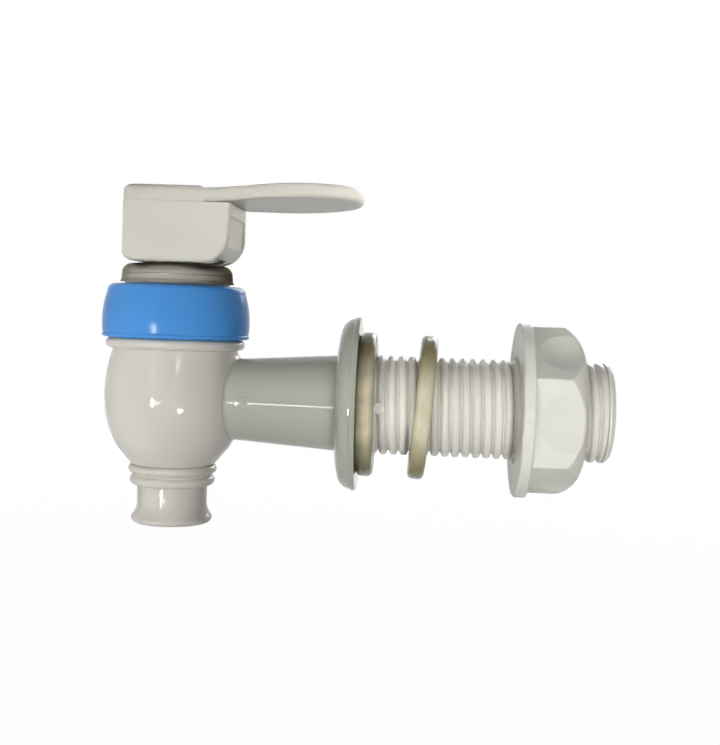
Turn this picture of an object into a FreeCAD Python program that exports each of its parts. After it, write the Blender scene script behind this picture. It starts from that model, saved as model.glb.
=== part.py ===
import FreeCAD, Part

import math
import os

from FreeCAD import Vector

# Water dispenser tap with a push lever, millimetres.
# The shank runs along +X towards the machine, the valve stands on +Z, and the
# origin is on the shank's axis in the wall plane, at the outer washer's wall face.

# Places of the main axes
valve_reach = 41.0
wall_x = 0.0
valve_x = wall_x - valve_reach

# Running gaps, radial or between faces
moving_gap = 0.3
running_gap = 0.05
seat_gap = 0.2

# Cutting shapes run this far past the faces that they cut
cut_over = 1.0

# The thread's groove is drawn this far beyond the crests that it cuts
thread_over = 0.3

# Two places nearer than this are the same
touching = 1e-4

# Body moulding: shank, flange and tube
shank_radius = 10.0
shank_length = 50.0
shank_chamfer = 0.8
thread_pitch = 2.07
thread_depth = 0.8
thread_mouth = 1.1
thread_root = 0.3
thread_from_flange = 2.2
thread_end_land = 1.8
flange_radius = 17.5
flange_rim = 1.1
flange_depth = 4.4
flange_dome_radius = 15.6
flange_dome_depth = 3.5
flange_root_bow = 0.23
flange_dome_bow = 0.38
flange_rim_edge = 0.2
tube_flange_radius = 9.7
tube_taper_deg = 4.0
tube_fillet = 1.0

# Body moulding: valve chamber outside, from top to bottom
neck_top_z = 18.6
neck_radius = 12.3
rim_bead_radius = 14.0
rim_bead_z = 10.9
rim_bead_height = 2.0
globe_radius = 14.05
globe_upper_curve = 32.4
globe_lower_curve = 20.2
globe_top_z = 9.6
globe_low_z = -10.0
cone_end_z = -13.5
cone_end_radius = 8.5
upper_bead_radius = 8.95
upper_bead_z = -14.5
lower_bead_radius = 8.6
lower_bead_z = -16.8
bead_height = 1.9
bead_groove_radius = 8.0
spout_neck_radius = 7.1
spout_flare_z = -21.8
lip_radius = 8.2
lip_z = -24.5
lip_height = 1.1
lip_edge = 0.5
flare_bow = 0.15
bead_root_step = 0.3
spout_end_z = -25.4

# Body moulding: passages
chamber_radius = 9.6
chamber_floor_z = -7.8
chamber_corner = 1.5
seat_flank = 0.4
outlet_cone = 1.3
seat_z = -6.4
seat_rim_radius = 5.2
outlet_radius = 3.9
spout_bore_radius = 5.2
spout_bore_length = 10.0
inlet_radius = 4.5
inlet_socket_radius = 6.5
inlet_socket_depth = 15.0

# Wall washers and nut
washer_thickness = 3.3
washer_radius = 14.5
washer_edge = 1.1
washer_hole_gap = 0.45
inner_washer_x = 9.6
inner_washer_tilt_deg = 4.3
shank_beyond_nut = 5.3
nut_flange_thickness = 2.4
nut_length = 13.2
nut_flats_count = 6
nut_corner_radius = 17.0
nut_turn_deg = -4.6
nut_soft_edge = 0.5
nut_flange_edge = 0.5
nut_flange_chamfer = 0.3
nut_dome_radius = 7.8
nut_dome_inset = 7.0
nut_end_ring = 0.82
nut_scoop_x = 9.1
nut_scoop_depth = 0.8
nut_scoop_radius = 20.0
nut_bore_gap = 0.08
nut_mouth_chamfer = 0.9

# Collar, bonnet and cap
gasket_thickness = 1.0
bonnet_flange_thickness = 1.5
bonnet_flange_radius = 12.1
bonnet_foot_z = 15.0
boss_radius = 10.5
core_outer_radius = 8.6
core_inner_radius = 5.4
core_floor_z = 19.4
collar_bottom_z = 12.7
collar_top_z = 22.7
collar_radius = 14.7
collar_top_radius = 13.9
collar_shoulder_z = 20.9
collar_edge = 1.5
collar_foot_chamfer = 0.4
collar_side_bow = 0.43
cap_top_z = 26.8
cap_foot_z = 23.2
cap_sheet = 0.5
cap_edge = 1.4
cap_foot_height = 1.5
cap_foot_bow = 0.2
cap_groove_depth = 0.12
cap_groove_height = 0.3
cap_hole_gap = 0.5
cap_foot_flare = 0.15

# Stem, its seal, its spring and the valve plug
stem_radius = 3.0
gland_depth = 2.3
o_ring_section = 0.95
spring_washer_radius = 5.9
spring_washer_thickness = 0.7
spring_wire = 1.0
spring_mean_radius = 4.5
spring_turns = 5.0
spring_foot_z = 0.0
holder_flange_thickness = 1.2
holder_flange_radius = 6.2
holder_neck_radius = 4.3
holder_neck_height = 0.8
holder_disc_radius = 5.2
holder_disc_thickness = 1.8
foot_neck_radius = 1.9
foot_neck_height = 1.6
foot_button_radius = 2.5
foot_button_height = 1.2
foot_button_chamfer = 0.4
plug_radius = 6.3
plug_groove_depth = 0.5
plug_groove_flank = 0.5
plug_land = 0.5
plug_edge = 0.6

# Lever, from the pivot outwards
pivot_z = 32.7
trunnion_radius = 2.0
trunnion_reach = 5.5
stem_head_width = 6.2
stem_head_radius = 3.4
stem_head_sink = 0.4
cheek_height = 11.6
cheek_left = 8.9
cheek_right = 12.0
block_half_width = 10.7
cheek_wall = 2.0
cam_radius = 5.4
heel_radius = 2.0
cheek_edge = 0.7
cam_rib_wall = 2.2
end_panel_depth = 0.5
end_panel_top = 9.3
end_panel_border = 1.5
head_overhang = 0.4
head_length = 16.5
head_corner = 3.4
head_height = 3.2
head_top_edge = 1.4
head_foot_edge = 0.4
paddle_root_x = 5.0
paddle_root_half = 11.0
paddle_waist_x = 11.5
paddle_waist_half = 11.9
paddle_wide_x = 23.5
paddle_half_width = 17.0
paddle_reach = 37.4
paddle_end_x = 33.6
paddle_end_half = 12.6
paddle_thickness = 2.7
paddle_root_drop = 0.5
paddle_rise_deg = 2.3
paddle_edge = 0.9
paddle_dish_depth = 0.7
paddle_dish_radius = 90.0
roof_thickness = 1.6

# Worked out from the values above
washer_hole_radius = shank_radius + washer_hole_gap
flange_face_x = wall_x - washer_thickness
shank_end_x = flange_face_x + shank_length
bonnet_seat_z = neck_top_z + gasket_thickness
bonnet_flange_z = bonnet_seat_z + bonnet_flange_thickness
boss_top_z = cap_top_z - cap_sheet
lever_foot_z = cap_top_z + moving_gap
cheek_top_z = lever_foot_z + cheek_height
head_top_z = cheek_top_z + head_height
spring_washer_top_z = bonnet_foot_z - moving_gap
spring_top_z = spring_washer_top_z - spring_washer_thickness
holder_top_z = spring_foot_z - moving_gap
holder_flange_z = holder_top_z - holder_flange_thickness
holder_neck_z = holder_flange_z - holder_neck_height
holder_disc_z = holder_neck_z - holder_disc_thickness
foot_button_z = holder_top_z - foot_neck_height
plug_foot_z = seat_z + moving_gap
nut_flange_radius = flange_radius
nut_bore_radius = shank_radius + nut_bore_gap
nut_dome_centre = nut_corner_radius - nut_dome_inset
nut_x = shank_end_x - shank_beyond_nut - nut_length
guide_radius = stem_radius + running_gap


def point(across, along, level):
    """A corner of an outline: level outlines turn about X, upright ones about Z."""
    if level:
        return Vector(along, 0, across)
    return Vector(across, 0, along)


def outline(steps, level=False):
    """Face from (radius, height) corners. A pair of corners is an arc through the first."""
    edges = []
    here = point(*steps[0], level)
    for step in steps[1:] + steps[:1]:
        if isinstance(step[0], tuple):
            through, there = (point(*corner, level) for corner in step)
            edges.append(Part.Arc(here, through, there).toShape())
        else:
            there = point(*step, level)
            if there.distanceToPoint(here) < touching:
                continue
            edges.append(Part.makeLine(here, there))
        here = there
    return Part.Face(Part.Wire(edges))


def turned(steps, level=False):
    """Solid of revolution about the X axis, or about the valve's upright axis."""
    axis = Vector(1, 0, 0) if level else Vector(0, 0, 1)
    solid = outline(steps, level).revolve(Vector(0, 0, 0), axis, 360)
    if not level:
        solid.translate(Vector(valve_x, 0, 0))
    return solid


def round_bead(radius, height, z, root):
    """Half-round bead on an upright profile, as a step from its foot to its top."""
    foot = (root, z - height / 2)
    top = (root, z + height / 2)
    return foot, ((radius, z), top)


def bulge(curve, z):
    """Corner at height z on the globe's side, an arc of that radius, widest on the shank's axis."""
    return globe_radius - curve + math.sqrt(max(curve * curve - z * z, 0)), z


def bowed(start, end, bow):
    """Step along an arc that stands out from its chord, to the right of the way it runs."""
    across, along = (e - s for s, e in zip(start, end))
    length = math.hypot(across, along)
    middle = (0.5 * (start[0] + end[0]) + bow * along / length,
              0.5 * (start[1] + end[1]) - bow * across / length)
    return middle, end


def corner_arc(corner, before, after, radius):
    """Start, middle and end of a rounding between two square sides of an outline."""
    def towards(target):
        step = [t - c for t, c in zip(target, corner)]
        length = math.hypot(*step)
        return [s / length for s in step]
    one, two = towards(before), towards(after)
    start = tuple(c + radius * u for c, u in zip(corner, one))
    end = tuple(c + radius * u for c, u in zip(corner, two))
    pull = radius * (1 - math.sqrt(0.5))
    middle = tuple(c + pull * (u + v) for c, u, v in zip(corner, one, two))
    return start, (middle, end)


def tube_radius(x):
    """Outside radius of the tapered tube between the chamber and the flange."""
    back = flange_face_x - flange_depth - x
    return tube_flange_radius - back * math.tan(math.radians(tube_taper_deg))


def thread_groove():
    """Winding groove of the shank's right-hand thread, blunt at both ends."""
    start_x = flange_face_x + thread_from_flange
    length = shank_end_x - shank_chamfer - thread_end_land - start_x
    flank = (thread_mouth - thread_root) / 2 / thread_depth
    root_radius = shank_radius - thread_depth
    over_radius = shank_radius + thread_over
    root_half = thread_root / 2
    over_half = root_half + flank * (over_radius - root_radius)
    corners = [(root_radius, -root_half), (over_radius, -over_half), (over_radius, over_half),
               (root_radius, root_half)]
    section = Part.makePolygon([Vector(radius, 0, along) for radius, along in corners[::-1] + corners[-1:]])
    one_turn = Part.makeHelix(thread_pitch, thread_pitch, shank_radius)
    path = Part.Wire([one_turn.translated(Vector(0, 0, turn * thread_pitch)).Edges[0]
                      for turn in range(round(length / thread_pitch))])
    groove = path.makePipeShell([section], True, True)
    groove.rotate(Vector(0, 0, 0), Vector(0, 1, 0), 90)
    groove.translate(Vector(start_x, 0, 0))
    return groove


def faucet_body():
    """One moulding: spout, valve chamber, tapered tube, wall flange and shank."""
    bead_foot, bead_arc = round_bead(rim_bead_radius, rim_bead_height, rim_bead_z,
                                     neck_radius + bead_root_step)
    upper_foot, upper_arc = round_bead(upper_bead_radius, bead_height, upper_bead_z, bead_groove_radius)
    lower_foot, lower_arc = round_bead(lower_bead_radius, bead_height, lower_bead_z, bead_groove_radius)
    lip_top = (lip_radius - lip_edge / 2, lip_z + lip_height / 2)
    outside = turned([
        (0, spout_end_z),
        (lip_radius - lip_edge, spout_end_z),
        ((lip_radius, lip_z), lip_top),
        bowed(lip_top, (spout_neck_radius, spout_flare_z), -flare_bow),
        (spout_neck_radius, lower_foot[1]),
        lower_foot,
        lower_arc,
        upper_foot,
        upper_arc,
        (cone_end_radius, cone_end_z),
        bulge(globe_lower_curve, globe_low_z),
        (bulge(globe_lower_curve, globe_low_z / 2), (globe_radius, 0)),
        (bulge(globe_upper_curve, globe_top_z / 2), bulge(globe_upper_curve, globe_top_z)),
        bead_foot,
        bead_arc,
        (neck_radius, rim_bead_z + rim_bead_height / 2),
        (neck_radius, neck_top_z),
        (0, neck_top_z),
    ])
    root = (tube_flange_radius, flange_face_x - flange_depth)
    dome = (flange_dome_radius, flange_face_x - flange_dome_depth)
    rim = (flange_radius - flange_rim_edge, flange_face_x - flange_rim)
    tube = turned([
        (0, valve_x),
        (tube_radius(valve_x), valve_x),
        root,
        bowed(root, dome, flange_root_bow),
        bowed(dome, rim, flange_dome_bow),
        (flange_radius, flange_face_x - flange_rim + flange_rim_edge),
        (flange_radius, flange_face_x),
        (shank_radius, flange_face_x),
        (shank_radius, shank_end_x - shank_chamfer),
        (shank_radius - shank_chamfer, shank_end_x),
        (0, shank_end_x),
    ], level=True)
    shell = outside.fuse(tube)
    shell = round_tube_root(shell)
    floor_start, floor_arc = corner_arc((chamber_radius, chamber_floor_z), (chamber_radius, neck_top_z),
                                        (0, chamber_floor_z), chamber_corner)
    bore_end_z = spout_end_z + spout_bore_length
    chamber = turned([
        (0, neck_top_z + cut_over),
        (chamber_radius, neck_top_z + cut_over),
        floor_start,
        floor_arc,
        (seat_rim_radius + seat_flank, chamber_floor_z),
        (seat_rim_radius, seat_z),
        (outlet_radius, seat_z),
        (outlet_radius, bore_end_z + outlet_cone),
        (spout_bore_radius, bore_end_z),
        (spout_bore_radius, spout_end_z - cut_over),
        (0, spout_end_z - cut_over),
    ])
    passage = Part.makeCylinder(inlet_radius, shank_end_x - valve_x, Vector(valve_x, 0, 0), Vector(1, 0, 0))
    socket_x = shank_end_x - inlet_socket_depth
    socket = Part.makeCylinder(inlet_socket_radius, inlet_socket_depth + cut_over, Vector(socket_x, 0, 0),
                               Vector(1, 0, 0))
    return shell.cut(chamber).cut(passage).cut(socket).cut(thread_groove())


def round_tube_root(shell):
    """Fillet the seam where the tapered tube leaves the valve chamber."""
    seam = []
    for edge in shell.Edges:
        middle = edge.valueAt((edge.FirstParameter + edge.LastParameter) / 2)
        curve = globe_upper_curve if middle.z > 0 else globe_lower_curve
        off_tube = math.hypot(middle.y, middle.z) - tube_radius(middle.x)
        off_globe = math.hypot(middle.x - valve_x, middle.y) - bulge(curve, middle.z)[0]
        if middle.x > valve_x and max(abs(off_tube), abs(off_globe)) < touching:
            seam.append(edge)
    return shell.makeFillet(tube_fillet, seam)


def washer(hole_radius):
    """Flat sealing washer about X with rounded rims, from x = 0 to its thickness."""
    steps = [(hole_radius, 0)]
    for corner, before, after in (
            ((washer_radius, 0), (hole_radius, 0), (washer_radius, washer_thickness)),
            ((washer_radius, washer_thickness), (washer_radius, 0), (hole_radius, washer_thickness))):
        steps.extend(corner_arc(corner, before, after, washer_edge))
    steps.append((hole_radius, washer_thickness))
    return turned(steps, level=True)


def outer_washer():
    """Washer between the body's flange and the wall."""
    ring = washer(washer_hole_radius)
    ring.translate(Vector(flange_face_x, 0, 0))
    return ring


def inner_washer():
    """Loose washer that hangs on the shank, leaning as it was left."""
    lean = math.radians(inner_washer_tilt_deg)
    spread = washer_thickness / 2 * math.tan(lean) + washer_hole_radius * (1 / math.cos(lean) - 1)
    ring = washer(washer_hole_radius + spread)
    ring.translate(Vector(-washer_thickness / 2, 0, 0))
    ring.rotate(Vector(0, 0, 0), Vector(0, 1, 0), inner_washer_tilt_deg)
    ring.translate(Vector(inner_washer_x, 0, -washer_hole_gap / 2))
    return ring


def mounting_nut():
    """Flanged hexagon nut with a domed outer end and a scoop in each flat."""
    step = math.tau / nut_flats_count
    start = math.radians(nut_turn_deg)

    def around(distance, angle, x):
        return Vector(x, distance * math.sin(angle), distance * math.cos(angle))
    corners = [around(nut_corner_radius, start + step * k, 0) for k in range(nut_flats_count + 1)]
    prism = Part.Face(Part.makePolygon(corners)).extrude(Vector(nut_length, 0, 0))
    dome_x = nut_length - nut_dome_radius
    rim_rise = math.sqrt(nut_dome_radius ** 2 - nut_dome_inset ** 2)
    ring_radius = nut_bore_radius + nut_end_ring
    end_rise = math.sqrt(nut_dome_radius ** 2 - (ring_radius - nut_dome_centre) ** 2)
    slant = nut_dome_radius * math.sqrt(0.5)
    dome = turned([
        (0, 0),
        (nut_corner_radius, 0),
        (nut_corner_radius, dome_x + rim_rise),
        ((nut_dome_centre + slant, dome_x + slant), (ring_radius, dome_x + end_rise)),
        (0, dome_x + end_rise),
    ], level=True)
    grip = prism.common(dome)
    flat_distance = nut_corner_radius * math.cos(step / 2)
    scoop_distance = flat_distance + nut_scoop_radius - nut_scoop_depth
    for k in range(nut_flats_count):
        centre = around(scoop_distance, start + step * (k + 0.5), nut_scoop_x)
        grip = grip.cut(Part.makeSphere(nut_scoop_radius, centre))
    above_flange = [edge for edge in grip.Edges
                    if edge.BoundBox.XMax > nut_flange_thickness and edge.BoundBox.XLength > touching]
    grip = grip.makeFillet(nut_soft_edge, above_flange)
    rim = corner_arc((nut_flange_radius, nut_flange_thickness), (nut_flange_radius, 0),
                     (0, nut_flange_thickness), nut_flange_edge)
    flange = turned([
        (0, 0),
        (nut_flange_radius - nut_flange_chamfer, 0),
        (nut_flange_radius, nut_flange_chamfer),
        *rim,
        (0, nut_flange_thickness),
    ], level=True)
    bore = turned([
        (0, -cut_over),
        (nut_bore_radius + nut_mouth_chamfer + cut_over, -cut_over),
        (nut_bore_radius, nut_mouth_chamfer),
        (nut_bore_radius, nut_length + cut_over),
        (0, nut_length + cut_over),
    ], level=True)
    nut = grip.fuse(flange).removeSplitter().cut(bore)
    nut.translate(Vector(nut_x, 0, 0))
    return nut


def bonnet_gasket():
    """Flat ring between the chamber's neck and the bonnet's flange."""
    return turned([
        (chamber_radius + seat_gap, neck_top_z),
        (neck_radius - seat_gap, neck_top_z),
        (neck_radius - seat_gap, bonnet_seat_z),
        (chamber_radius + seat_gap, bonnet_seat_z),
    ])


def bonnet():
    """Guide insert: skirt in the chamber's neck, clamped flange and hollow boss."""
    skirt_radius = chamber_radius - seat_gap
    gland_radius = stem_radius + running_gap + 2 * o_ring_section + running_gap
    shoulder = corner_arc((boss_radius, boss_top_z), (boss_radius, bonnet_flange_z), (0, boss_top_z),
                          cap_edge - cap_sheet + running_gap)
    return turned([
        (guide_radius, bonnet_foot_z + gland_depth),
        (gland_radius, bonnet_foot_z + gland_depth),
        (gland_radius, bonnet_foot_z),
        (skirt_radius, bonnet_foot_z),
        (skirt_radius, bonnet_seat_z),
        (bonnet_flange_radius, bonnet_seat_z),
        (bonnet_flange_radius, bonnet_flange_z),
        (boss_radius, bonnet_flange_z),
        *shoulder,
        (core_outer_radius, boss_top_z),
        (core_outer_radius, core_floor_z),
        (core_inner_radius, core_floor_z),
        (core_inner_radius, boss_top_z),
        (guide_radius, boss_top_z),
    ])


def bonnet_collar():
    """Screw collar that clamps the bonnet down on the chamber's neck."""
    thread_radius = neck_radius + seat_gap
    shoulder = corner_arc((collar_top_radius, collar_top_z), (collar_top_radius, collar_shoulder_z),
                          (0, collar_top_z), collar_edge)
    foot = (collar_radius, collar_bottom_z + collar_foot_chamfer)
    return turned([
        (thread_radius, collar_bottom_z),
        (collar_radius - collar_foot_chamfer, collar_bottom_z),
        foot,
        bowed(foot, shoulder[0], collar_side_bow),
        shoulder[1],
        (boss_radius + seat_gap, collar_top_z),
        (boss_radius + seat_gap, bonnet_flange_z),
        (thread_radius, bonnet_flange_z),
    ])


def steel_cap():
    """Pressed sheet cap over the bonnet's boss, with a flared foot."""
    inner = boss_radius + running_gap
    outer = inner + cap_sheet
    hole = guide_radius + cap_hole_gap
    edge_start, edge_arc = corner_arc((outer, cap_top_z), (outer, cap_foot_z), (hole, cap_top_z), cap_edge)
    under_start, under_arc = corner_arc((inner, boss_top_z), (hole, boss_top_z), (inner, cap_foot_z),
                                        cap_edge - cap_sheet)
    bead_foot = (outer + cap_foot_flare, cap_foot_z)
    bead_top = (outer - cap_groove_depth, cap_foot_z + cap_foot_height)
    return turned([
        (inner, cap_foot_z),
        bead_foot,
        bowed(bead_foot, bead_top, cap_foot_bow),
        (outer, cap_foot_z + cap_foot_height + cap_groove_height),
        edge_start,
        edge_arc,
        (hole, cap_top_z),
        (hole, boss_top_z),
        under_start,
        under_arc,
    ])


def stem_o_ring():
    """Rubber ring in the bonnet's gland, round the stem."""
    centre = guide_radius + o_ring_section
    middle_z = bonnet_foot_z + gland_depth / 2
    return turned([
        (centre - o_ring_section, middle_z),
        ((centre, middle_z + o_ring_section), (centre + o_ring_section, middle_z)),
        ((centre, middle_z - o_ring_section), (centre - o_ring_section, middle_z)),
    ])


def spring_washer():
    """Plain washer between the spring and the bonnet, which holds the seal in."""
    return turned([
        (guide_radius + seat_gap, spring_top_z),
        (spring_washer_radius, spring_top_z),
        (spring_washer_radius, spring_washer_top_z),
        (guide_radius + seat_gap, spring_washer_top_z),
    ])


def stem_spring():
    """Compression spring, from the plug's holder up to the washer under the bonnet."""
    start_z = spring_foot_z + spring_wire / 2
    rise = spring_top_z - spring_foot_z - spring_wire
    helix = Part.makeHelix(rise / spring_turns, rise, spring_mean_radius)
    helix.translate(Vector(0, 0, start_z))
    circle = Part.makeCircle(spring_wire / 2, Vector(spring_mean_radius, 0, start_z), Vector(0, 1, 0))
    coil = Part.Wire(helix.Edges).makePipeShell([Part.Wire(circle)], True, True)
    coil.translate(Vector(valve_x, 0, 0))
    return coil


def plug_holder():
    """Plastic carrier on the stem's foot: spring seat above, plug disc below."""
    return turned([
        (foot_neck_radius + running_gap, holder_top_z),
        (holder_flange_radius, holder_top_z),
        (holder_flange_radius, holder_flange_z),
        (holder_neck_radius, holder_flange_z),
        (holder_neck_radius, holder_neck_z),
        (holder_disc_radius, holder_neck_z),
        (holder_disc_radius, holder_disc_z),
        (foot_button_radius + seat_gap, holder_disc_z),
        (foot_button_radius + seat_gap, foot_button_z),
        (foot_neck_radius + running_gap, foot_button_z),
    ])


def seat_cup():
    """Soft plug stretched over the holder's disc, which closes on the seat."""
    rim = corner_arc((plug_radius, plug_foot_z), (0, plug_foot_z), (plug_radius, holder_flange_z), plug_edge)
    land_radius = outlet_radius - plug_land
    return turned([
        (0, plug_foot_z + plug_groove_depth),
        (land_radius - plug_groove_flank, plug_foot_z + plug_groove_depth),
        (land_radius, plug_foot_z),
        *rim,
        (plug_radius, holder_flange_z),
        (holder_neck_radius, holder_flange_z),
        (holder_neck_radius, holder_neck_z),
        (holder_disc_radius, holder_neck_z),
        (holder_disc_radius, holder_disc_z),
        (0, holder_disc_z),
    ])


def stem():
    """Moulded stem: button foot, round rod, flat head and two trunnions."""
    foot_z = foot_button_z - foot_button_height
    head_foot_z = pivot_z - stem_head_radius + stem_head_sink
    rod = turned([
        (0, foot_z),
        (foot_button_radius - foot_button_chamfer, foot_z),
        (foot_button_radius, foot_z + foot_button_chamfer),
        (foot_button_radius, foot_button_z),
        (foot_neck_radius, foot_button_z),
        (foot_neck_radius, holder_top_z),
        (stem_radius, holder_top_z),
        (stem_radius, head_foot_z),
        (0, head_foot_z),
    ])
    along_y = Vector(0, 1, 0)
    eye = Part.makeCylinder(stem_head_radius, stem_head_width,
                            Vector(valve_x, -stem_head_width / 2, pivot_z), along_y)
    trunnions = Part.makeCylinder(trunnion_radius, 2 * trunnion_reach,
                                  Vector(valve_x, -trunnion_reach, pivot_z), along_y)
    return rod.fuse(eye).fuse(trunnions).removeSplitter()


def side_plate(inner_y, outer_y, right, cam):
    """Plate in the XZ plane with a round heel on the left and a cam corner on the right."""
    left_x = valve_x - cheek_left
    right_x = valve_x + right
    top = cheek_top_z
    heel_start, heel_arc = corner_arc((left_x, lever_foot_z), (left_x, top), (right_x, lever_foot_z),
                                      heel_radius)
    cam_start, cam_arc = corner_arc((right_x, lever_foot_z), (left_x, lever_foot_z), (right_x, top), cam)
    face = outline([(left_x, top), heel_start, heel_arc, cam_start, cam_arc, (right_x, top)])
    face.translate(Vector(0, inner_y, 0))
    return face.extrude(Vector(0, outer_y - inner_y, 0))


def paddle():
    """Spoon-shaped thumb plate that widens from the head and rises a little to its tip."""
    def at(x, y):
        return Vector(x, y, 0)
    half = [(paddle_root_x, paddle_root_half), (paddle_waist_x, paddle_waist_half),
            (paddle_wide_x, paddle_half_width), (paddle_end_x, paddle_end_half)]
    points = [at(x, y) for x, y in half] + [at(paddle_reach, 0)] + [at(x, -y) for x, y in reversed(half)]
    side = Part.BSplineCurve()
    side.interpolate(points)
    close = Part.makeLine(points[-1], points[0])
    plate = Part.Face(Part.Wire([side.toShape(), close])).extrude(Vector(0, 0, paddle_thickness))
    rims = [edge for edge in plate.Edges if edge.Length > 2 * paddle_reach]
    plate = plate.makeFillet(paddle_edge, rims)
    dish_z = paddle_thickness + paddle_dish_radius - paddle_dish_depth
    plate = plate.cut(Part.makeSphere(paddle_dish_radius, at(paddle_wide_x, 0) + Vector(0, 0, dish_z)))
    plate.rotate(at(paddle_root_x, 0), Vector(0, -1, 0), paddle_rise_deg)
    plate.translate(Vector(valve_x, 0, head_top_z - paddle_root_drop - paddle_thickness))
    return plate


def upright_edges(solid, limit_x):
    """Straight upright edges that lie left of a limit."""
    return [edge for edge in solid.Edges
            if edge.BoundBox.ZLength > edge.Length - touching and edge.BoundBox.XMax < limit_x]


def level_edges(solid, z):
    """Edges that lie in a level plane."""
    return [edge for edge in solid.Edges
            if max(abs(edge.BoundBox.ZMin - z), abs(edge.BoundBox.ZMax - z)) < touching]


def lever():
    """One moulding: round head, thumb paddle and a cored block with two cam ribs."""
    block = side_plate(-block_half_width, block_half_width, cheek_right, cam_radius)
    sides = [edge for edge in block.Edges
             if edge.BoundBox.YLength < touching and edge.BoundBox.ZMin < cheek_top_z - touching]
    block = block.makeFillet(cheek_edge, sides)
    panel_z = lever_foot_z + end_panel_top
    panel = Part.makeBox(end_panel_depth + cut_over, 2 * (block_half_width - end_panel_border),
                         end_panel_top + cut_over,
                         Vector(valve_x + cheek_right - end_panel_depth, end_panel_border - block_half_width,
                                panel_z - end_panel_top - cut_over))
    block = block.cut(panel)
    core_left = valve_x - cheek_left + cheek_wall
    core_right = valve_x + cheek_right - cheek_wall - end_panel_depth
    core_half = block_half_width - cheek_wall
    core = Part.makeBox(core_right - core_left, 2 * core_half, cheek_height - roof_thickness + cut_over,
                        Vector(core_left, -core_half, lever_foot_z - cut_over))
    block = block.cut(core)
    head_left = valve_x - cheek_left - head_overhang
    head_half = block_half_width + head_overhang
    head = Part.makeBox(head_length, 2 * head_half, head_height, Vector(head_left, -head_half, cheek_top_z))
    head = head.makeFillet(head_corner, upright_edges(head, head_left + head_corner))
    head = head.makeFillet(head_top_edge, level_edges(head, head_top_z))
    head = head.makeFillet(head_foot_edge, level_edges(head, cheek_top_z))
    ribs = []
    slot_half = stem_head_width / 2 + moving_gap
    for sign in (-1, 1):
        ribs.append(side_plate(sign * slot_half, sign * (slot_half + cam_rib_wall),
                               cheek_right - end_panel_depth, cam_radius - end_panel_depth))
    whole = block.fuse([head, paddle()] + ribs)
    bore_half = slot_half + cam_rib_wall + moving_gap
    bore = Part.makeCylinder(trunnion_radius + running_gap, 2 * bore_half,
                             Vector(valve_x, -bore_half, pivot_z), Vector(0, 1, 0))
    return whole.cut(bore).removeSplitter()


pieces = {
    "faucet_body": faucet_body,
    "outer_washer": outer_washer,
    "inner_washer": inner_washer,
    "mounting_nut": mounting_nut,
    "bonnet_gasket": bonnet_gasket,
    "bonnet": bonnet,
    "bonnet_collar": bonnet_collar,
    "steel_cap": steel_cap,
    "stem_o_ring": stem_o_ring,
    "spring_washer": spring_washer,
    "stem_spring": stem_spring,
    "plug_holder": plug_holder,
    "seat_cup": seat_cup,
    "stem": stem,
    "lever": lever,
}

os.makedirs("parts", exist_ok=True)
for name, make in pieces.items():
    shape = make()
    if shape.ShapeType != "Solid" and len(shape.Solids) == 1:
        shape = shape.Solids[0]
    print(name, "solids", len(shape.Solids), "valid", shape.isValid(), "volume", round(shape.Volume, 1))
    shape.exportStep("parts/" + name + ".step")
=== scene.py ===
import math

import bpy
from mathutils import Matrix, Vector


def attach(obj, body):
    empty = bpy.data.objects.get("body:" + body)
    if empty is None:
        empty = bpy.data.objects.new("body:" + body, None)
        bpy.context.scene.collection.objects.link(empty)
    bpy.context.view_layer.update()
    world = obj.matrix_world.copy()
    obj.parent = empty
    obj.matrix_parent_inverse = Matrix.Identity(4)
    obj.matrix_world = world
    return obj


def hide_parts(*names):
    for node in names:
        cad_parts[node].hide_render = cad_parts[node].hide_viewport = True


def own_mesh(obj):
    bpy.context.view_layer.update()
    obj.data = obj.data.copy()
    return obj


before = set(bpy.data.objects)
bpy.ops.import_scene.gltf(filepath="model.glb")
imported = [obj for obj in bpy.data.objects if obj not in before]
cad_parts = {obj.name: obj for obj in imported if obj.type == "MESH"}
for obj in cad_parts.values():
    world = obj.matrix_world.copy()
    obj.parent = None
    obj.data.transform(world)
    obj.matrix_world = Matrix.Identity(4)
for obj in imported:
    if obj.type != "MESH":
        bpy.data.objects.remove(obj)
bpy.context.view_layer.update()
bpy.ops.object.select_all(action="DESELECT")

mm = 0.001
turn = math.tau
round_steps = 96
weld_reach = 0.001 * mm
cut_reach = 0.0001 * mm

# Places taken from the CAD
valve_x = -41.0 * mm
tube_radius_at_origin = 10.69 * mm
tube_slope = 0.0699

# Node helpers


def place_node(tree, kind, settings=None, sockets=None):
    """Adds a shader node. A socket takes a number, a colour or another node's output."""
    made = tree.nodes.new("ShaderNode" + kind)
    for name, value in (settings or {}).items():
        setattr(made, name, value)
    for name, value in (sockets or {}).items():
        if isinstance(value, bpy.types.NodeSocket):
            tree.links.new(value, made.inputs[name])
        else:
            made.inputs[name].default_value = value
    return made


def math_node(tree, operation, first, second=0.0):
    return place_node(tree, "Math", {"operation": operation}, {0: first, 1: second}).outputs[0]


def noise(tree, place, scale, detail=2.0, roughness=0.5):
    made = place_node(tree, "TexNoise", {}, {
        "Vector": place, "Scale": scale, "Detail": detail, "Roughness": roughness})
    return made.outputs["Fac"]


def stretched(tree, place, scale):
    made = place_node(tree, "Mapping", {"vector_type": "POINT"}, {"Vector": place, "Scale": scale})
    return made.outputs["Vector"]


def ramp(tree, value, low, high, to_low=0.0, to_high=1.0):
    made = place_node(tree, "MapRange", {"clamp": True}, {
        "Value": value, "From Min": low, "From Max": high, "To Min": to_low, "To Max": to_high})
    return made.outputs["Result"]


def mixed(tree, share, first, second):
    made = place_node(tree, "Mix", {"data_type": "RGBA"}, {"Factor": share, 6: first, 7: second})
    return made.outputs[2]


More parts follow.
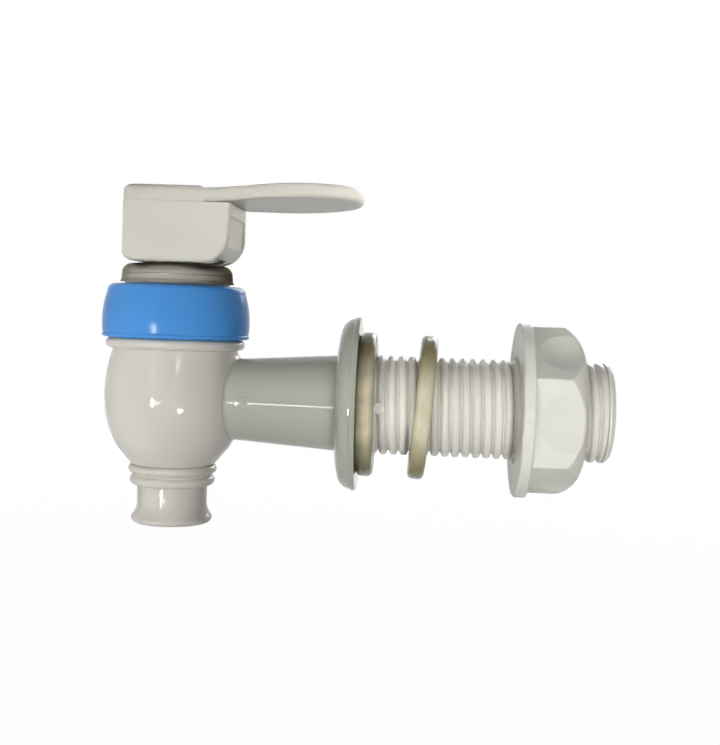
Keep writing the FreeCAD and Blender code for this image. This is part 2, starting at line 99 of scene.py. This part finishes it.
def start_effect(name, knobs, results):
    """An empty node group that reads a place and named numbers, and gives masks or heights."""
    tree = bpy.data.node_groups.new(name, "ShaderNodeTree")
    tree.interface.new_socket("Place", in_out="INPUT", socket_type="NodeSocketVector")
    for knob in knobs:
        tree.interface.new_socket(knob, in_out="INPUT", socket_type="NodeSocketFloat")
    for result in results:
        tree.interface.new_socket(result, in_out="OUTPUT", socket_type="NodeSocketFloat")
    return tree, tree.nodes.new("NodeGroupInput").outputs, tree.nodes.new("NodeGroupOutput").inputs


def use_effect(tree, effect, place, **knobs):
    made = tree.nodes.new("ShaderNodeGroup")
    made.node_tree = effect
    tree.links.new(place, made.inputs["Place"])
    for knob, value in knobs.items():
        made.inputs[knob].default_value = value
    return made.outputs


# Effects


def make_flow():
    """Slow changes of tone and slight waves, as a moulded skin has."""
    tree, knob, result = start_effect("moulding_flow", ["Size"], ["Tone", "Wave"])
    per_metre = math_node(tree, "DIVIDE", 1.0, knob["Size"])
    tone = noise(tree, knob["Place"], per_metre, 3.0)
    wave = noise(tree, knob["Place"], math_node(tree, "MULTIPLY", per_metre, 1.7), 1.0)
    tree.links.new(ramp(tree, tone, 0.3, 0.7), result["Tone"])
    tree.links.new(wave, result["Wave"])
    return tree


def make_sand():
    """Fine eroded grain of a matt tool face, with spots for painted glints."""
    tree, knob, result = start_effect("tool_sand", ["Size"], ["Grain", "Glint"])
    per_metre = math_node(tree, "DIVIDE", 1.0, knob["Size"])
    grain = noise(tree, knob["Place"], per_metre, 3.0, 0.6)
    cells = place_node(tree, "TexVoronoi", {"feature": "F1"}, {
        "Vector": knob["Place"], "Scale": per_metre})
    glint = ramp(tree, cells.outputs["Distance"], 0.16, 0.05)
    tree.links.new(grain, result["Grain"])
    tree.links.new(glint, result["Glint"])
    return tree


def make_marks():
    """Faint handling scratches and specks of dust."""
    tree, knob, result = start_effect("handling_marks", ["Amount"], ["Scratches", "Specks"])
    across = noise(tree, stretched(tree, knob["Place"], (90, 1500, 1100)), 1.0, 2.0)
    along = noise(tree, stretched(tree, knob["Place"], (1300, 120, 900)), 1.0, 2.0)
    lines = math_node(tree, "MAXIMUM", ramp(tree, across, 0.70, 0.76),
                      ramp(tree, along, 0.71, 0.77))
    tree.links.new(math_node(tree, "MULTIPLY", lines, knob["Amount"]), result["Scratches"])
    cells = place_node(tree, "TexVoronoi", {"feature": "F1"}, {
        "Vector": knob["Place"], "Scale": 420.0})
    patch = ramp(tree, noise(tree, knob["Place"], 60.0), 0.52, 0.66)
    dots = ramp(tree, cells.outputs["Distance"], 0.09, 0.04)
    dots = math_node(tree, "MULTIPLY", dots, patch)
    tree.links.new(math_node(tree, "MULTIPLY", dots, knob["Amount"]), result["Specks"])
    return tree


def make_lathe_lines():
    """Fine rings round the upright axis through the place's origin."""
    tree, knob, result = start_effect("lathe_lines", ["Size"], ["Lines", "Bands"])
    axes = place_node(tree, "SeparateXYZ", {}, {0: knob["Place"]}).outputs
    per_metre = math_node(tree, "DIVIDE", 1.0, knob["Size"])
    squares = math_node(tree, "ADD", math_node(tree, "MULTIPLY", axes["X"], axes["X"]),
                        math_node(tree, "MULTIPLY", axes["Y"], axes["Y"]))
    outward = math_node(tree, "SQRT", squares)
    angle = math_node(tree, "ARCTAN2", axes["Y"], axes["X"])
    ring = place_node(tree, "CombineXYZ", {}, {
        "X": math_node(tree, "MULTIPLY", outward, per_metre),
        "Y": math_node(tree, "MULTIPLY", axes["Z"], per_metre),
        "Z": math_node(tree, "MULTIPLY", angle, 0.9)}).outputs[0]
    broad = place_node(tree, "CombineXYZ", {}, {
        "X": math_node(tree, "MULTIPLY", angle, 1.3),
        "Y": math_node(tree, "MULTIPLY", axes["Z"], 180.0), "Z": 0.0}).outputs[0]
    tree.links.new(noise(tree, ring, 1.0, 3.0, 0.65), result["Lines"])
    tree.links.new(noise(tree, broad, 1.0, 1.0), result["Bands"])
    return tree


flow, sand, marks, lathe_lines = make_flow(), make_sand(), make_marks(), make_lathe_lines()

# Masks that follow a place on the part


def coordinate(tree, place, axis):
    return place_node(tree, "SeparateXYZ", {}, {0: place}).outputs[axis]


def off_shank_axis(tree, place):
    """Distance from the level axis of the tube and the shank."""
    deep, high = coordinate(tree, place, "Y"), coordinate(tree, place, "Z")
    squares = math_node(tree, "ADD", math_node(tree, "MULTIPLY", deep, deep),
                        math_node(tree, "MULTIPLY", high, high))
    return math_node(tree, "SQRT", squares)


def tube_shade_mask(tree, place):
    """One on the tube, the flange and the spout, where a greyer colour is painted as shade."""
    along = coordinate(tree, place, "X")
    skin = math_node(tree, "MULTIPLY_ADD", along, tube_slope)
    skin.node.inputs[2].default_value = tube_radius_at_origin
    proud = math_node(tree, "SUBTRACT", off_shank_axis(tree, place), skin)
    tube = math_node(tree, "MULTIPLY", ramp(tree, proud, 0.2 * mm, -0.1 * mm),
                     ramp(tree, along, -36.0 * mm, -35.0 * mm))
    tube = math_node(tree, "MAXIMUM", tube, ramp(tree, along, -12.6 * mm, -12.0 * mm))
    spout = ramp(tree, coordinate(tree, place, "Z"), -17.2 * mm, -18.4 * mm, 0.0, 0.2)
    return math_node(tree, "MAXIMUM", tube, spout)


def cheek_mask(tree, place):
    """One on the lever's two flat cheeks."""
    deep = math_node(tree, "ABSOLUTE", coordinate(tree, place, "Y"))
    outside = ramp(tree, deep, 10.55 * mm, 10.66 * mm)
    below = ramp(tree, coordinate(tree, place, "Z"), 38.4 * mm, 38.1 * mm)
    return math_node(tree, "MULTIPLY", outside, below)


# Materials


def start_material(name, base, roughness, settings=None):
    """A material with its Principled shader, and the place that its patterns read."""
    made = bpy.data.materials.new(name)
    made.use_nodes = True
    tree = made.node_tree
    tree.nodes.clear()
    shader = place_node(tree, "BsdfPrincipled", {}, {
        "Base Color": (*base, 1.0), "Roughness": roughness})
    for socket, value in (settings or {}).items():
        shader.inputs[socket].default_value = value
    place_node(tree, "OutputMaterial", {}, {"Surface": shader.outputs[0]})
    place = place_node(tree, "TexCoord").outputs["Object"]
    return made, tree, shader.inputs, place


def moulded_plastic(name, base, deep, roughness, sand_depth=0.0, wave_depth=0.05 * mm,
                    tint=None, painted_shade=None, sand_mask=None, glints=0.0, mirror=0.3):
    """Injection moulded plastic: slow tone changes, slight waves, optional sand with painted
    glints, optional painted shade, faint marks.
    """
    made, tree, shader, place = start_material(name, base, roughness, {
        "Specular IOR Level": mirror})
    skin = use_effect(tree, flow, place, Size=9 * mm)
    wear = use_effect(tree, marks, place, Amount=1.0)
    tone = mixed(tree, skin["Tone"], (*base, 1.0), (*deep, 1.0))
    # Painted shade: where the mask says, the colour turns to the given tint
    if tint:
        tone = mixed(tree, painted_shade(tree, place), tone, (*tint, 1.0))
    dusty = math_node(tree, "MULTIPLY", wear["Specks"], 0.25)
    tone = mixed(tree, dusty, tone, (0.42, 0.40, 0.36, 1.0))
    rough = math_node(tree, "MULTIPLY_ADD", wear["Scratches"], 0.10)
    rough.node.inputs[2].default_value = roughness
    bump = place_node(tree, "Bump", {}, {
        "Strength": 0.6, "Distance": wave_depth, "Height": skin["Wave"]})
    if sand_depth:
        grain = use_effect(tree, sand, place, Size=0.34 * mm)
        height = grain["Grain"]
        sparkle = math_node(tree, "MULTIPLY", grain["Glint"], glints)
        if sand_mask:
            where = sand_mask(tree, place)
            height = math_node(tree, "MULTIPLY", height, where)
            sparkle = math_node(tree, "MULTIPLY", sparkle, where)
        # Painted glints: light spots painted into the colour where the grain would catch light
        tone = mixed(tree, sparkle, tone, (0.95, 0.94, 0.90, 1.0))
        bump = place_node(tree, "Bump", {}, {
            "Strength": 1.0, "Distance": sand_depth, "Height": height, "Normal": bump.outputs[0]})
    tree.links.new(tone, shader["Base Color"])
    tree.links.new(rough, shader["Roughness"])
    tree.links.new(bump.outputs[0], shader["Normal"])
    return made


def spun_steel(name, base, roughness):
    """Spun stainless with fine rings. Its +X side is darkened as painted shade, as the photo shows
    the cap.
    """
    made, tree, shader, place = start_material(name, base, roughness, {
        "Metallic": 1.0, "Anisotropic": 0.5, "Specular Tint": (0.40, 0.38, 0.33, 1.0)})
    centred = place_node(tree, "Mapping", {}, {
        "Vector": place, "Location": (-valve_x, 0, 0)}).outputs[0]
    rings = use_effect(tree, lathe_lines, centred, Size=0.12 * mm)
    wear = use_effect(tree, marks, place, Amount=1.0)
    dark = tuple(channel * 0.72 for channel in base)
    tone = mixed(tree, rings["Lines"], (*base, 1.0), (*dark, 1.0))
    tone = mixed(tree, ramp(tree, rings["Bands"], 0.35, 0.7), tone, (*dark, 1.0))
    # Painted shade: the colour darkens from 6 to 11 mm on the +X side of the valve's axis
    shaded = ramp(tree, coordinate(tree, centred, "X"), 6.0 * mm, 11.0 * mm)
    shade_tone = tuple(channel * 0.18 for channel in base)
    tree.links.new(mixed(tree, shaded, tone, (*shade_tone, 1.0)), shader["Base Color"])
    rough = math_node(tree, "MULTIPLY_ADD", rings["Lines"], 0.22)
    rough.node.inputs[2].default_value = roughness
    tree.links.new(
        math_node(tree, "ADD", rough, math_node(tree, "MULTIPLY", wear["Scratches"], 0.1)),
        shader["Roughness"])
    bump = place_node(tree, "Bump", {}, {
        "Strength": 0.4, "Distance": 0.01 * mm, "Height": rings["Lines"]})
    tree.links.new(bump.outputs[0], shader["Normal"])
    return made


def cast_silicone(name, base, deep, rim):
    """Olive translucent rubber with clouds in it. It darkens above and below the shank's axis, as
    painted shade.
    """
    roughness = 0.2
    made, tree, shader, place = start_material(name, base, roughness, {
        "Specular IOR Level": 0.25, "Subsurface Weight": 0.55, "Subsurface Scale": 2.5 * mm,
        "Subsurface Radius": (1.0, 0.85, 0.5)})
    clouds = use_effect(tree, flow, place, Size=4 * mm)
    wear = use_effect(tree, marks, place, Amount=1.0)
    tone = mixed(tree, clouds["Tone"], (*base, 1.0), (*deep, 1.0))
    # Painted shade: towards the top and bottom the colour turns to the rim colour
    high = math_node(tree, "ABSOLUTE", coordinate(tree, place, "Z"))
    tree.links.new(mixed(tree, ramp(tree, high, 4.5 * mm, 12.0 * mm), tone, (*rim, 1.0)),
                   shader["Base Color"])
    rough = math_node(tree, "MULTIPLY_ADD", wear["Scratches"], 0.2)
    rough.node.inputs[2].default_value = roughness
    tree.links.new(rough, shader["Roughness"])
    bump = place_node(tree, "Bump", {}, {
        "Strength": 0.8, "Distance": 0.12 * mm, "Height": clouds["Wave"]})
    tree.links.new(bump.outputs[0], shader["Normal"])
    return made


# body_white's tint is painted shade, laid on the tube, the flange and the spout
body_white = moulded_plastic("body_white", (0.665, 0.635, 0.575), (0.635, 0.605, 0.54), 0.07,
                             wave_depth=0.09 * mm, tint=(0.40, 0.41, 0.345),
                             painted_shade=tube_shade_mask)
# The shank is the same plastic as body_white; its lighter colour is painted light
thread_lit_white = moulded_plastic("thread_lit_white", (0.78, 0.76, 0.70), (0.78, 0.76, 0.69), 0.24)
lever_white = moulded_plastic("lever_white", (0.70, 0.67, 0.60), (0.67, 0.64, 0.565), 0.30,
                              0.05 * mm, sand_mask=cheek_mask, glints=0.10, mirror=0.04)
nut_white = moulded_plastic("nut_white", (0.82, 0.81, 0.73), (0.77, 0.76, 0.68), 0.34, 0.05 * mm,
                            glints=0.2, mirror=0.12)
ring_blue = moulded_plastic("ring_blue", (0.077, 0.30, 0.72), (0.075, 0.29, 0.72), 0.18,
                            mirror=0.08)
inner_grey = moulded_plastic("inner_grey", (0.42, 0.43, 0.42), (0.36, 0.37, 0.36), 0.35)
seal_black = moulded_plastic("seal_black", (0.03, 0.03, 0.03), (0.02, 0.02, 0.02), 0.5, 0.02 * mm)
cap_steel = spun_steel("cap_steel", (0.29, 0.27, 0.235), 0.34)
spring_steel = spun_steel("spring_steel", (0.50, 0.50, 0.50), 0.25)
# Each washer's third colour is painted shade at its top and bottom
washer_olive = cast_silicone("washer_olive", (0.74, 0.69, 0.52), (0.50, 0.46, 0.31),
                             (0.17, 0.145, 0.045))
washer_pale = cast_silicone("washer_pale", (0.72, 0.68, 0.52), (0.56, 0.52, 0.36),
                            (0.22, 0.19, 0.06))

finish_of = {
    "faucet_body": body_white, "lever": lever_white, "mounting_nut": nut_white,
    "bonnet_collar": ring_blue, "steel_cap": cap_steel, "outer_washer": washer_olive,
    "inner_washer": washer_pale, "bonnet_gasket": seal_black, "stem_o_ring": seal_black,
    "seat_cup": seal_black, "bonnet": inner_grey, "stem": inner_grey, "plug_holder": inner_grey,
    "spring_washer": inner_grey, "stem_spring": spring_steel,
}


def finish_with(piece, material):
    piece.data.materials.clear()
    piece.data.materials.append(material)


for node_name, finish in finish_of.items():
    finish_with(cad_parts[node_name], finish)

# Making pieces


def in_edit_mode(piece, work):
    """Runs the work in edit mode on one piece."""
    bpy.ops.object.select_all(action="DESELECT")
    piece.select_set(True)
    bpy.context.view_layer.objects.active = piece
    bpy.ops.object.mode_set(mode="EDIT")
    work()
    bpy.ops.object.mode_set(mode="OBJECT")
    piece.select_set(False)


def use_modifier(piece, name, kind, **settings):
    """Adds a modifier and applies it."""
    added = piece.modifiers.new(name, kind)
    for setting, value in settings.items():
        setattr(added, setting, value)
    with bpy.context.temp_override(object=piece, active_object=piece, selected_objects=[piece]):
        bpy.ops.object.modifier_apply(modifier=name)


def start_line(name, places):
    """A new piece that is one chain of points, drawn by extruding its last point."""
    bpy.ops.mesh.primitive_plane_add(size=mm, location=places[0])
    piece = bpy.context.active_object
    piece.name = piece.data.name = name

    def draw():
        bpy.ops.mesh.merge(type="CENTER")
        for here, there in zip(places, places[1:]):
            bpy.ops.mesh.extrude_vertices_move(
                TRANSFORM_OT_translate={"value": Vector(there) - Vector(here)})
    in_edit_mode(piece, draw)
    bpy.context.view_layer.objects.active = piece
    piece.select_set(True)
    bpy.ops.object.transform_apply(location=True, rotation=True, scale=True)
    piece.select_set(False)
    return piece


def lathe(name, profile, about_shank):
    """A closed turned piece of (radius, place along) corners, about the shank or the valve."""
    if about_shank:
        places = [(along * mm, 0, radius * mm) for radius, along in profile]
        centre, axis = (0, 0, 0), (1, 0, 0)
    else:
        places = [(valve_x + radius * mm, 0, along * mm) for radius, along in profile]
        centre, axis = (valve_x, 0, 0), (0, 0, 1)
    piece = start_line(name, places + places[:1])

    def spin():
        bpy.ops.mesh.select_all(action="SELECT")
        bpy.ops.mesh.spin(steps=round_steps, angle=turn, center=centre, axis=axis)
        bpy.ops.mesh.select_all(action="SELECT")
        bpy.ops.mesh.remove_doubles(threshold=weld_reach)
        bpy.ops.mesh.normals_make_consistent(inside=False)
    in_edit_mode(piece, spin)
    return piece


def smooth_below(piece, degrees):
    """Smooth shading, with edges sharper than the angle kept crisp."""
    bpy.ops.object.select_all(action="DESELECT")
    piece.select_set(True)
    bpy.context.view_layer.objects.active = piece
    bpy.ops.object.shade_smooth_by_angle(angle=math.radians(degrees))
    piece.select_set(False)


def copy_of(node_name, name):
    """A merged copy of a CAD node to work on."""
    piece = bpy.data.objects.new(name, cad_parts[node_name].data.copy())
    piece.data.name = name
    bpy.context.scene.collection.objects.link(piece)

    def merge():
        bpy.ops.mesh.select_all(action="SELECT")
        bpy.ops.mesh.customdata_custom_splitnormals_clear()
        bpy.ops.mesh.remove_doubles(threshold=weld_reach)
    in_edit_mode(piece, merge)
    return piece


def place_piece(piece, body, slot_name, material, *nodes):
    """Gives a finished piece its body and finish, and hides the CAD nodes it stands for, if any.
    The slot name is not used.
    """
    finish_with(piece, material)
    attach(piece, body)
    if nodes:
        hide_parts(*nodes)


def make_threaded_shank():
    """The shank beyond the flange: a round-crested right-hand thread on a bored blank."""
    pitch, crest, depth = 2.07, 9.98, 1.02
    first, last = -8.345, 50.0
    thread_start, thread_end = -5.0, 45.25
    # Share of the pitch, and share of the depth below the crest
    shape = (
        (0.0, 1.0), (0.05, 0.92), (0.10, 0.70), (0.15, 0.45), (0.20, 0.23), (0.27, 0.08),
        (0.37, 0.015), (0.50, 0.0), (0.63, 0.015), (0.73, 0.08), (0.80, 0.23), (0.85, 0.45),
        (0.90, 0.70), (0.95, 0.92), (1.0, 1.0))
    rod = start_line("threaded_shank", [
        ((first + share * pitch) * mm, 0, (crest - drop * depth) * mm) for share, drop in shape])
    use_modifier(rod, "thread", "SCREW", axis="X", angle=turn, screw_offset=pitch * mm,
                 steps=round_steps, render_steps=round_steps,
                 iterations=int((last - first) / pitch),
                 use_merge_vertices=True, merge_threshold=weld_reach)

    def trim():
        for place, towards in ((thread_start, -1), (thread_end, 1)):
            bpy.ops.mesh.select_all(action="SELECT")
            bpy.ops.mesh.remove_doubles(threshold=weld_reach)
            bpy.ops.mesh.bisect(plane_co=(place * mm, 0, 0), plane_no=(towards, 0, 0),
                                use_fill=True, clear_outer=True, threshold=cut_reach)
        bpy.ops.mesh.select_all(action="SELECT")
        bpy.ops.mesh.normals_make_consistent(inside=False)
    in_edit_mode(rod, trim)
    blank = lathe("shank_blank", [
        (4.5, -2.9), (8.9, -2.9), (8.9, -2.2), (10.3, -0.8), (10.3, 45.6), (9.2, 46.7), (6.9, 46.7),
        (6.5, 46.3), (6.5, 31.7), (4.5, 31.7)], True)
    use_modifier(rod, "blank", "BOOLEAN", operation="INTERSECT", object=blank, solver="EXACT")
    bpy.data.objects.remove(blank)
    land = lathe("shank_land", [
        (8.9, 45.0), (9.98, 45.5), (9.98, 45.9), (9.2, 46.7), (6.9, 46.7), (6.5, 46.3),
        (6.5, 45.0)], True)
    use_modifier(rod, "land", "BOOLEAN", operation="UNION", object=land, solver="EXACT")
    bpy.data.objects.remove(land)
    smooth_below(rod, 38)
    return rod


def make_tap_moulding():
    """The moulding up to the flange, whose plain shank the threaded one carries on."""
    body = copy_of("faucet_body", "tap_moulding")

    def cut_shank():
        bpy.ops.mesh.select_all(action="SELECT")
        bpy.ops.mesh.bisect(plane_co=(-2.7 * mm, 0, 0), plane_no=(1, 0, 0),
                            use_fill=True, clear_outer=True, threshold=cut_reach)
    in_edit_mode(body, cut_shank)
    smooth_below(body, 32)
    return body


def make_disc(name, x, z, face_y, radius, height):
    """A flat round pin mark that faces the front, with a rounded rim."""
    bpy.ops.mesh.primitive_cylinder_add(
        vertices=64, radius=radius * mm, depth=height * mm, end_fill_type="NGON",
        location=(x * mm, (face_y + height / 2) * mm, z * mm), rotation=(turn / 4, 0, 0))
    disc = bpy.context.active_object
    disc.name = disc.data.name = name
    bpy.ops.object.transform_apply(location=True, rotation=True, scale=True)
    use_modifier(disc, "soften", "BEVEL", width=0.12 * mm, segments=3, limit_method="ANGLE",
                 angle_limit=math.radians(60), harden_normals=False)
    smooth_below(disc, 40)
    return disc


# The pieces that replace or add to the CAD nodes

threaded_shank = make_threaded_shank()
tap_moulding = make_tap_moulding()
place_piece(tap_moulding, "tap_body", "white_plastic", body_white, "faucet_body")
place_piece(threaded_shank, "tap_body", "white_plastic", thread_lit_white)
lip = lathe("collar_foot_lip", [
    (12.6, 12.06), (14.45, 12.06), (14.72, 12.22), (14.80, 12.45), (14.74, 12.72),
    (14.62, 12.95), (14.3, 13.2), (12.6, 13.2)], False)
smooth_below(lip, 50)
place_piece(lip, "tap_body", "blue_plastic", ring_blue)
cap_shell = lathe("cap_shell", [
    (10.55, 23.2), (11.42, 23.2), (11.40, 23.34), (11.24, 23.52), (11.16, 23.9), (11.12, 24.6),
    (11.04, 24.68), (11.04, 24.80), (11.10, 24.88), (11.05, 25.3), (10.93, 25.65), (10.72, 26.04),
    (10.38, 26.40), (9.95, 26.67), (9.4, 26.8), (3.55, 26.8), (3.55, 26.32), (9.6, 26.32),
    (10.25, 26.06), (10.55, 25.4)], False)
smooth_below(cap_shell, 40)
place_piece(cap_shell, "tap_body", "stainless", cap_steel, "steel_cap")

# The spring is a smoothed copy of the CAD coil, carried by the swivel ring, clear of the plug's
# holder. In the tap it shortens towards its washer as the stem rises.
coil = copy_of("stem_spring", "coil_spring")
smooth_below(coil, 40)
place_piece(coil, "swivel_ring", "spring_steel", spring_steel, "stem_spring")
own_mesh(coil)
place_piece(make_disc("tube_pin_mark", -26.0, 0.0, -8.50, 1.3, 0.6),
            "tap_body", "white_plastic", body_white)
place_piece(make_disc("shank_pin_mark", 0.95, 0.1, -10.35, 1.15, 1.1),
            "tap_body", "white_plastic", thread_lit_white)

# Light and view


def aim(here, there):
    return (Vector(there) - Vector(here)).to_track_quat("-Z", "Y").to_matrix().to_4x4()


def soft_box(name, place, target, width, height, power, tint=(1.0, 1.0, 1.0), spread=180.0):
    """A rectangular lamp aimed at a point. The spread, in degrees, is how wide its beam opens."""
    lamp = bpy.data.lights.new(name, "AREA")
    lamp.shape = "RECTANGLE"
    lamp.size, lamp.size_y = width, height
    lamp.energy = power
    lamp.spread = math.radians(spread)
    lamp.color = tint
    made = bpy.data.objects.new(name, lamp)
    made.matrix_world = Matrix.Translation(place) @ aim(place, target)
    bpy.context.scene.collection.objects.link(made)


# Fitted to the reflections in the photo, so they suit the front view best
middle = (-0.005, 0.0, 0.008)
soft_box("wall_left", (-0.62, -0.17, 0.02), middle, 0.25, 0.40, 0.5, (1.0, 0.99, 0.965))
soft_box("grid_left", (-0.33, -0.67, -0.080), (-0.060, 0.0, 0.014), 0.06, 0.08, 0.035,
         (1.0, 1.0, 0.985), 20.0)
soft_box("grid_low", (0.13, -0.42, -0.112), (0.045, 0.0, -0.002), 0.07, 0.03, 0.0295,
         (1.0, 1.0, 0.99), 33.0)
soft_box("grid_high", (0.18, -0.64, 0.28), (0.045, 0.0, 0.004), 0.12, 0.10, 0.011,
         (1.0, 1.0, 1.0), 20.0)
soft_box("strip_low", (-0.205, -0.60, -0.064), (-0.02, 0.0, 0.0), 0.13, 0.018, 0.30)
soft_box("strip_high", (-0.20, -0.50, 0.30), (-0.02, 0.0, 0.0), 0.13, 0.022, 0.07)
soft_box("wall_behind", (0.25, 0.70, 0.35), middle, 0.40, 0.40, 1.8)
soft_box("grid_top", (-0.32, -0.60, 0.20), (-0.026, 0.0, 0.018), 0.13, 0.16, 0.0042,
         (0.94, 0.97, 1.0), 14.0)
soft_box("grid_lever", (-0.10, -0.66, 0.20), (0.008, 0.0, 0.060), 0.03, 0.03, 0.0030,
         (1.0, 1.0, 1.0), 6.0)
soft_box("window_right", (0.077, -0.66, -0.085), middle, 0.012, 0.05, 0.05)
soft_box("grid_right", (0.70, -0.14, 0.03), (-0.020, 0.0, 0.052), 0.02, 0.02, 0.0032,
         (1.0, 1.0, 1.0), 4.0)


def seen_or_mirrored(tree):
    """One for rays from the camera, from a mirror face and through glass."""
    ray = place_node(tree, "LightPath").outputs
    direct = math_node(tree, "MAXIMUM", ray["Is Camera Ray"], ray["Is Glossy Ray"])
    return math_node(tree, "MAXIMUM", direct, ray["Is Transmission Ray"])


world = bpy.data.worlds.new("pale_room")
bpy.context.scene.world = world
world.use_nodes = True
world.node_tree.nodes.clear()
room = place_node(world.node_tree, "Background", {}, {
    "Color": (0.95, 0.97, 1.0, 1.0), "Strength": 0.10})
seen = place_node(world.node_tree, "Background", {}, {
    "Color": (1.0, 1.0, 1.0, 1.0), "Strength": 1.0})
white_room = place_node(world.node_tree, "MixShader", {}, {
    0: seen_or_mirrored(world.node_tree), 1: room.outputs[0], 2: seen.outputs[0]})
place_node(world.node_tree, "OutputWorld", {}, {"Surface": white_room.outputs[0]})

bpy.ops.mesh.primitive_grid_add(
    x_subdivisions=8, y_subdivisions=8, size=3.0, location=(0, 0.6, -0.13))
floor = bpy.context.active_object
floor.name = "pale_floor"
paper = bpy.data.materials.new("pale_paper")
paper.use_nodes = True
tree = paper.node_tree
tree.nodes.clear()
matt = place_node(tree, "BsdfDiffuse", {}, {"Color": (0.42, 0.42, 0.41, 1.0)})
glow = place_node(tree, "Emission", {}, {"Color": (1.0, 1.0, 1.0, 1.0), "Strength": 1.0})
spot = place_node(tree, "TexCoord").outputs["Object"]
apart = place_node(tree, "VectorMath", {"operation": "DISTANCE"}, {
    0: spot, 1: (0.0, -0.6, 0.0)}).outputs["Value"]
share = math_node(tree, "MULTIPLY", seen_or_mirrored(tree), ramp(tree, apart, 0.1, 0.9, 0.975, 1.0))
both = place_node(tree, "MixShader", {}, {0: share, 1: matt.outputs[0], 2: glow.outputs[0]})
place_node(tree, "OutputMaterial", {}, {"Surface": both.outputs[0]})
finish_with(floor, paper)

# The camera stands level with the tap, a little above the shank, and leans a little
image_long_side = 745.0
focal_pixels = 1085.9
camera_place = Vector((6.75, -219.33, 18.29)) * mm
camera_yaw, camera_pitch, camera_roll = (math.radians(angle) for angle in (-2.62, -3.106, 2.003))

forward = Vector((math.sin(camera_yaw) * math.cos(camera_pitch),
                  math.cos(camera_yaw) * math.cos(camera_pitch), math.sin(camera_pitch)))
level_right = Vector((math.cos(camera_yaw), -math.sin(camera_yaw), 0.0))
level_up = level_right.cross(forward)
camera_right = math.cos(camera_roll) * level_right + math.sin(camera_roll) * level_up
camera_up = math.cos(camera_roll) * level_up - math.sin(camera_roll) * level_right
camera_data = bpy.data.cameras.new("front_camera")
camera_data.sensor_width = 36.0
camera_data.lens = focal_pixels / image_long_side * camera_data.sensor_width
camera_data.clip_start, camera_data.clip_end = 0.01, 20.0
camera = bpy.data.objects.new("front_camera", camera_data)
turned_axes = Matrix((camera_right, camera_up, -forward)).transposed().to_4x4()
camera.matrix_world = Matrix.Translation(camera_place) @ turned_axes
bpy.context.scene.collection.objects.link(camera)
bpy.context.scene.camera = camera
bpy.context.scene.view_settings.view_transform = "Standard"
